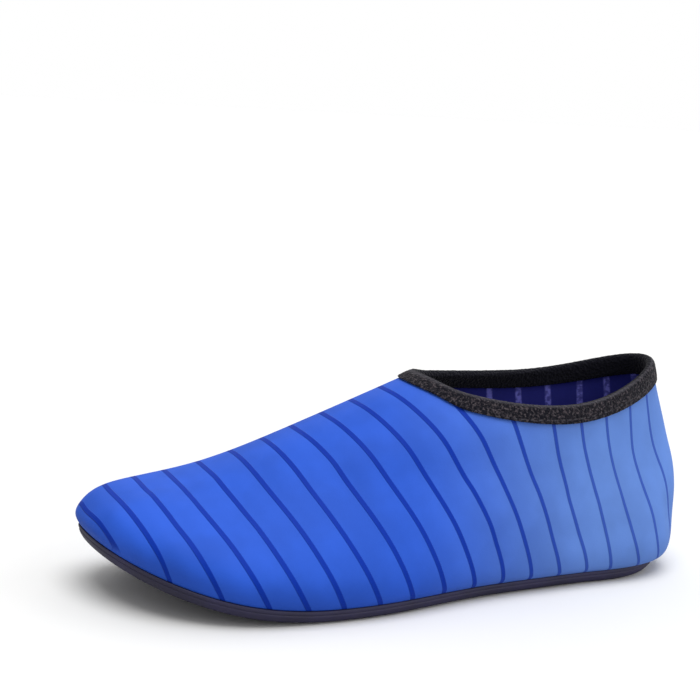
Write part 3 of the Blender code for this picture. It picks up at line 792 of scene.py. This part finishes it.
tread = {
    "pitch": 10.3, "hexagon": 8.6, "turn": math.radians(15), "groove": 1.7,
    "counts": (27, 11), "cut": (-1, 3),  # cells each way, and heights of a cutter in mm
    "root": 1.9, "rim": 0.35, "thinnest": 1.3, "dished": 2.6,
    "rimSteps": ((0.1, 0.17), (0.22, 0.14)), "rimRoom": 0.36,
    "sharpest": math.radians(135),
    "toeGroove": ((-35.0, 210.0), (-9.5, 200.4), (12.9, 195.1), (31.2, 188.4), (46.3, 172.6)),
    "toeInset": 0.4, "toePlate": 0.75, "plateInset": -0.2,
    "weaveCell": 1000.0, "leatherCell": 620.0,  # cells a metre
}
roundPads = (
    # along, across, radius, ringed
    (172.1, -7.9, 15.5, True), (153.8, 30.8, 9.5, True), (141.8, 2.1, 9.0, True),
    (119.0, 8.5, 6.0, True), (97.4, 8.0, 6.0, True), (57.6, 16.4, 7.7, True), (29.8, -1.0, 13.0, True),
    (76.8, 4.8, 6.0, False), (58.3, -4.5, 6.0, False),
)
toePads = (
    # inner end along and across, outer end along and across, width
    (191.5, 36.4, 198.7, 38.3, 6.0), (198.7, 27.4, 211.2, 29.8, 6.5),
    (205.9, 14.6, 225.1, 15.6, 7.0), (211.7, 0.0, 231.6, -1.9, 7.5),
)
toeBlocks = (
    # along, across, half length, half width, turn
    (202.8, 34.0, 3.1, 2.1, 0.55), (214.3, 22.2, 5.0, 2.3, 0.35), (222.7, 7.4, 6.2, 2.5, 0.10),
    (222.2, -18.4, 7.2, 8.3, -0.12),
)
toeButtons = ((192.5, 31.0), (199.5, 20.0), (206.5, 7.0), (209.5, -9.0), (205.0, -21.0))
ringSteps = (  # in from the rim, and height
    (0, tread["root"]), (0, 0.45), (0.12, 0.18), (0.4, 0.02), (1.2, 0.02), (1.55, 0.2), (1.75, 0.85),
    (2.25, 0.85), (2.45, 0.35), (2.7, 0.12), (3.2, 0.12), (3.4, 0.3), (3.5, 0.55),
)
buttonSteps = (  # radius and height
    (1.5, tread["root"]), (1.5, 0.45), (1.35, 0.25), (1.0, 0.2), (0.8, 0.3), (0.7, 0.7), (0.1, 0.7),
)
toeContour = ((0.5, 0.0), (0.15, -0.3), (0.2, 0.0), (0.15, 0.3))  # steps in and up, mm
hexagonDish = ((0.5, 0.02), (0.3, -0.1))
plateSteps = ((-0.12, 0.06), (-0.2, 0.2), (-0.2, 1.1))


def onSole(along, across):
    return Vector((soleLow.x + along * mm, middleLine + across * mm))


def toeGroove(across):  # how far along the groove behind the toe's plate lies
    return np.interp(across, *zip(*tread["toeGroove"]))


def turned(name, x, y, steps, sides=48):  # shell turned round an upright axis from radii and heights
    place = (soleLow.x + x * mm, middleLine + y * mm, steps[0][1] * mm)
    bpy.ops.object.select_all(action="DESELECT")
    bpy.ops.mesh.primitive_circle_add(vertices=sides, radius=steps[0][0] * mm, location=place)
    piece = bpy.context.active_object
    piece.name = name
    bpy.ops.object.transform_apply(location=True, rotation=False, scale=False)
    edited(piece, action="SELECT")
    for (radius, height), (nextRadius, nextHeight) in zip(steps, steps[1:]):
        bpy.ops.mesh.extrude_region_move(
            TRANSFORM_OT_translate={"value": (0, 0, (nextHeight - height) * mm)})
        scale = nextRadius / radius
        bpy.ops.transform.resize(value=(scale, scale, 1), center_override=place)
    bpy.ops.mesh.edge_face_add()
    facedOutwards()
    piece.data.materials.append(rubber)
    piece.data.materials.append(weaveRubber)
    return piece


def makePad(number, x, y, radius, ringed):
    if ringed:
        steps = [(radius - inset, height) for inset, height in ringSteps]
        disc = steps[-1][0]
        steps += [(disc * share, steps[-1][1]) for share in (0.75, 0.5, 0.25, 0.03)]
    else:
        disc = 0
        steps = [(radius, tread["root"]), (radius, 1.45)]
        turns = [math.radians(turn) for turn in range(15, 90, 10)]
        steps += [(radius * math.cos(turn), 1.5 - 1.45 * math.sin(turn)) for turn in turns]
    piece = turned(f"roundPad{number}", x, y, steps)
    middle = Vector((soleLow.x + x * mm, middleLine + y * mm, 0))
    for face in piece.data.polygons:
        face.material_index = int((face.center - middle).to_2d().length < disc * mm)
    return piece


def prism(name, outline, low=0.0, high=tread["root"]):  # upright prism on flat points in metres
    bpy.ops.object.select_all(action="DESELECT")
    bpy.ops.mesh.primitive_circle_add(vertices=len(outline), radius=1, fill_type="NGON")
    piece = bpy.context.active_object
    piece.name = name
    setPoints(piece, [(x, y, low * mm) for x, y in outline])
    edited(piece, action="SELECT")
    bpy.ops.mesh.extrude_region_move(TRANSFORM_OT_translate={"value": (0, 0, (high - low) * mm)})
    facedOutwards()
    return piece


def carve(piece, cutter, operation):
    applied(piece, "BOOLEAN", operation=operation, solver="EXACT", use_self=True, object=cutter)
    bpy.data.objects.remove(cutter)


def capsule(along, across, outerAlong, outerAcross, width):  # outline of a long pad with round ends
    start, end = onSole(along, across), onSole(outerAlong, outerAcross)
    heading = math.atan2(end.y - start.y, end.x - start.x)
    turns = [math.radians(turn) for turn in range(-90, 91, 18)]
    outline = []
    for place, facing in ((end, heading), (start, heading + math.pi)):
        outline += [place + Vector((math.cos(facing + turn), math.sin(facing + turn))) * width / 2 * mm
                    for turn in turns]
    return outline


def block(along, across, halfLength, halfWidth, turn):
    middle = onSole(along, across)
    ahead = Vector((math.cos(turn), math.sin(turn))) * mm
    aside = Vector((-ahead.y, ahead.x))
    return [middle + ahead * halfLength * i + aside * halfWidth * j
            for i, j in ((-1, -1), (1, -1), (1, 1), (-1, 1))]


def thickness(piece, face):  # about how thick a flat face is, from its area and edge
    corners = [piece.data.vertices[i].co for i in face.vertices]
    edge = sum((ahead - here).length for here, ahead in zip(corners, corners[1:] + corners[:1]))
    return 2 * face.area / edge / mm


def cornerTurns(piece, face):  # edges of a flat face, and how sharply each corner turns
    corners = [piece.data.vertices[i].co.to_2d() for i in face.vertices]
    runs = [ahead - here for here, ahead in zip(corners, corners[1:] + corners[:1])]
    sign = 1 if face.normal.z > 0 else -1
    turns = [sign * math.atan2(before.cross(after), before.dot(after))
             for before, after in zip(runs[-1:] + runs[:-1], runs)]
    return runs, turns


def insetRoom(piece, face):  # how far a face can be inset before one of its edges closes up
    runs, turns = cornerTurns(piece, face)
    closing = [math.sin(turn / 2) + math.sin(ahead / 2)
               for turn, ahead in zip(turns, turns[1:] + turns[:1])]
    return min((run.length / rate / mm for run, rate in zip(runs, closing) if rate > 1e-6), default=0.0)


def cutSpikes(piece):  # take off corners that are too sharp to be moulded
    sharp = np.zeros(len(piece.data.vertices), bool)
    for face in piece.data.polygons:
        for i, turn in zip(face.vertices, cornerTurns(piece, face)[1]):
            sharp[i] = turn > tread["sharpest"]
    edited(piece, "VERT", sharp)
    bpy.ops.mesh.dissolve_verts()
    bpy.ops.object.mode_set(mode="OBJECT")


def insetFaces(piece, chosen, steps):  # inset each chosen face, step by step
    edited(piece, "FACE", chosen)
    for inset, depth in steps:
        bpy.ops.mesh.inset(thickness=inset * mm, depth=depth * mm, use_individual=True,
                           use_even_offset=False)
    bpy.ops.object.mode_set(mode="OBJECT")


# Upright lugs get rounded rims, and then steps in the faces that are wider than a limit.
# Edges shorter than a limit are merged first.
def roundedLugs(piece, steps, widest=0.0, shortest=0.5):
    edited(piece, "FACE", [face.normal.z > -0.9 for face in piece.data.polygons])
    bpy.ops.mesh.delete(type="FACE")
    bpy.ops.mesh.select_all(action="SELECT")
    bpy.ops.mesh.remove_doubles(threshold=shortest * mm)
    bpy.ops.mesh.dissolve_limited(angle_limit=math.radians(1))
    bpy.ops.object.mode_set(mode="OBJECT")
    for _ in range(3):
        cutSpikes(piece)
    edited(piece, "FACE", [thickness(piece, face) < tread["thinnest"] for face in piece.data.polygons])
    bpy.ops.mesh.delete(type="FACE")
    bpy.ops.mesh.select_all(action="SELECT")
    bpy.ops.transform.translate(value=(0, 0, tread["rim"] * mm))
    bpy.ops.mesh.extrude_region_move(
        TRANSFORM_OT_translate={"value": (0, 0, (tread["root"] - tread["rim"]) * mm)})
    facedOutwards()
    insetFaces(piece, [face.normal.z < -0.9 and insetRoom(piece, face) > tread["rimRoom"]
                       for face in piece.data.polygons], tread["rimSteps"])
    reach = sum(inset for inset, depth in steps) * 1.1
    insetFaces(piece, [face.normal.z < -0.9 and thickness(piece, face) > widest
                       and insetRoom(piece, face) > reach for face in piece.data.polygons], steps)
    chosen = [face.select for face in piece.data.polygons]
    piece.data.materials.clear()
    piece.data.materials.append(rubber)
    piece.data.materials.append(weaveRubber)
    piece.data.shade_smooth()
    return chosen


def makeHexagons(rings):
    pitch = tread["pitch"] * mm
    bpy.ops.object.select_all(action="DESELECT")
    hexagons = []
    for shift in (0.0, 0.5):  # two hexagons make the cell that repeats
        bpy.ops.mesh.primitive_cylinder_add(
            vertices=6, radius=tread["hexagon"] / math.sqrt(3) * mm, depth=tread["root"] * mm,
            location=(shift * pitch, shift * pitch * math.sqrt(3), tread["root"] / 2 * mm))
        hexagons.append(bpy.context.active_object)
    piece = joined(hexagons)
    piece.name = "hexagonLugs"
    bpy.ops.object.transform_apply(location=True, rotation=True, scale=True)
    counts = tread["counts"]
    for count, step in zip(counts, ((pitch, 0, 0), (0, pitch * math.sqrt(3), 0))):
        applied(piece, "ARRAY", count=count, use_relative_offset=False, use_constant_offset=True,
                constant_offset_displace=step)
    middle = onSole(soleLength / mm / 2, 0)
    place = Matrix.Translation((middle.x, middle.y, 0)) @ Matrix.Rotation(tread["turn"], 4, "Z")
    start = Matrix.Translation((-(counts[0] // 2) * pitch, -(counts[1] // 2) * pitch * math.sqrt(3), 0))
    piece.data.transform(place @ start)
    field = borderAt(rings, 0, tread["groove"])[:, :2]
    ahead = soleLow.x + (toeGroove((field[:, 1] - middleLine) / mm) - tread["groove"] / 2) * mm
    field[:, 0] = np.minimum(field[:, 0], ahead)
    carve(piece, prism("hexagonField", field, *tread["cut"]), "INTERSECT")
    for along, across, radius, ringed in roundPads:
        place = (*onSole(along, across), 0)
        bpy.ops.mesh.primitive_cylinder_add(
            vertices=48, radius=(radius + tread["groove"] / 2) * mm, depth=6 * mm, location=place)
        carve(piece, bpy.context.active_object, "DIFFERENCE")
    roundedLugs(piece, hexagonDish, tread["dished"])
    return piece


def makeToeLugs(rings):
    field = wallAt(rings, sole["wallLevels"][-1], tread["toeInset"])[:, :2]
    pads = joined([prism("toePads", capsule(*row)) for row in toePads])
    blocks = joined([prism("toeBlocks", block(*row)) for row in toeBlocks])
    for row in toePads:  # the blocks stop a groove short of the long pads
        gap = prism("gap", capsule(*row[:4], row[4] + tread["groove"]), *tread["cut"])
        carve(blocks, gap, "DIFFERENCE")
    for piece in (pads, blocks):
        carve(piece, prism("toeField", field, *tread["cut"]), "INTERSECT")
    roundedLugs(pads, toeContour, shortest=0.9)
    inner = roundedLugs(blocks, toeContour)
    blocks.data.polygons.foreach_set("material_index", np.array(inner, int))
    return [pads, blocks]


def resampled(line, cells):
    gone = np.concatenate(([0], np.cumsum(np.linalg.norm(np.diff(line, axis=0), axis=1))))
    places = np.linspace(0, gone[-1], cells + 1)
    return np.column_stack([np.interp(places, gone, line[:, axis]) for axis in range(3)])


def makeToePlate(rings):  # grained plate that the toe's pads stand on
    along, across = 10, 8
    height = tread["toePlate"] * mm
    edge = borderAt(rings, tread["toePlate"], tread["plateInset"])
    behind = toeGroove((edge[:, 1] - middleLine) / mm) + tread["groove"] / 2
    arc = edge[edge[:, 0] > soleLow.x + behind * mm]
    sides = np.linspace(arc[-1, 1], arc[0, 1], across + 1)
    groove = soleLow.x + (toeGroove((sides - middleLine) / mm) + tread["groove"] / 2) * mm
    back = np.column_stack((groove, sides, np.full(across + 1, height)))
    arc = resampled(np.vstack((back[-1:], arc, back[:1])), 2 * along + across)
    loop = np.vstack((arc[:-1], resampled(back, across)[:-1]))
    plate = plateFromLoop("toePlate", loop, along, across)
    steps = [loop + np.column_stack((inwards(loop[:, :2]) * inset * mm, np.full(len(loop), rise * mm)))
             for inset, rise in plateSteps]
    extendEdge(plate, [loop] + steps)
    edited(plate)
    facedOutwards()
    smoothed(plate, 2)
    plate.data.materials.append(leatherRubber)
    return plate


def soleRubber(name, cells=0.0, cellDepth=0.0, coarse=0.08):
    material, tree, shader = newMaterial(name)
    height, patches = grainNode(tree, sole["grain"])
    tone = rangeNode(tree, patches, 0.3, 0.7, 0.75, 1.3)
    toned = addNode(tree, "HueSaturation", {"Color": sole["black"], "Value": tone})
    normal = bumpNode(tree, height, coarse * mm, 0.6)
    if cells:
        pattern = addNode(tree, "TexVoronoi", {
            "Scale": cells, "Randomness": 0.55, "Vector": objectCoordinates(tree),
        }, feature="DISTANCE_TO_EDGE")
        raised = rangeNode(tree, pattern.outputs["Distance"], 0.0, 0.25, 0.0, 1.0)
        normal = bumpNode(tree, raised, cellDepth * mm, 1.0, normal)
    feed(tree, shader, {"Base Color": toned.outputs[0], "Normal": normal,
                        "Roughness": rangeNode(tree, patches, 0.3, 0.7, 0.5, 0.66)})
    return material


rubber = soleRubber("soleRubber")
weaveRubber = soleRubber("weaveRubber", tread["weaveCell"], 0.3)
leatherRubber = soleRubber("leatherRubber", tread["leatherCell"], 0.12, 0.15)
rings = wallRings()
soleBody = makeSoleBody(rings)
soleBody.data.materials.append(rubber)
lugs = [makePad(number, *pad) for number, pad in enumerate(roundPads)]
lugs += [turned(f"button{number}", *place, buttonSteps, 20) for number, place in enumerate(toeButtons)]
treadLugs = joined([makeHexagons(rings)] + makeToeLugs(rings) + lugs)
treadLugs.name = "treadLugs"
treadLugs.data.set_sharp_from_angle(angle=math.radians(50))
applied(treadLugs, "WEIGHTED_NORMAL", keep_sharp=True)
toePlate = makeToePlate(rings)
for piece in (treadLugs, toePlate):
    lifted(piece)
for piece in (soleBody, treadLugs, toePlate):
    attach(piece, "root")
    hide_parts("outsole")
print("sole done:", len(soleBody.data.polygons) + len(treadLugs.data.polygons), "faces")


# Insole: foam faced with a close plain weave

insole = {
    "bevel": 0.8 * mm, "corner": 0.9, "grain": 800,  # metres, radians, cells a metre
    "cloth": (0.012, 0.012, 0.050), "thread": (0.040, 0.040, 0.120), "weave": 900.0,  # threads a metre
}


def insoleCloth():
    material, tree, shader = newMaterial("insoleCloth")
    patches = grainNode(tree, insole["grain"])[1]
    threads = {"Scale": insole["weave"] / 2, "Distortion": 0.4, "Vector": objectCoordinates(tree)}
    weave = mathNode(tree, "MULTIPLY", *(
        addNode(tree, "TexWave", threads, bands_direction=axis).outputs["Fac"] for axis in ("X", "Y")))
    woven = bumpNode(tree, weave, 0.15 * mm, 0.8)
    feed(tree, shader, {
        "Base Color": mixNode(tree, weave, insole["cloth"], insole["thread"]),
        "Normal": bumpNode(tree, patches, 0.3 * mm, 0.5, woven),
        "Roughness": 0.9, "Sheen Weight": 0.2,
    })
    return material


def makeInsole():
    piece = mergedCopy("insole", "insoleCloth", quads=False)
    edited(piece, action="SELECT")
    bpy.ops.mesh.dissolve_limited(angle_limit=math.radians(0.5))
    bpy.ops.object.mode_set(mode="OBJECT")
    applied(piece, "BEVEL", width=insole["bevel"], segments=3, limit_method="ANGLE",
            angle_limit=insole["corner"])
    piece.data.shade_smooth()
    piece.data.set_sharp_from_angle(angle=math.radians(40))
    piece.data.materials.append(insoleCloth())
    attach(piece, "root")
    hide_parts("insole")
    return piece


insoleCover = makeInsole()
print("insole done:", len(insoleCover.data.polygons), "faces")
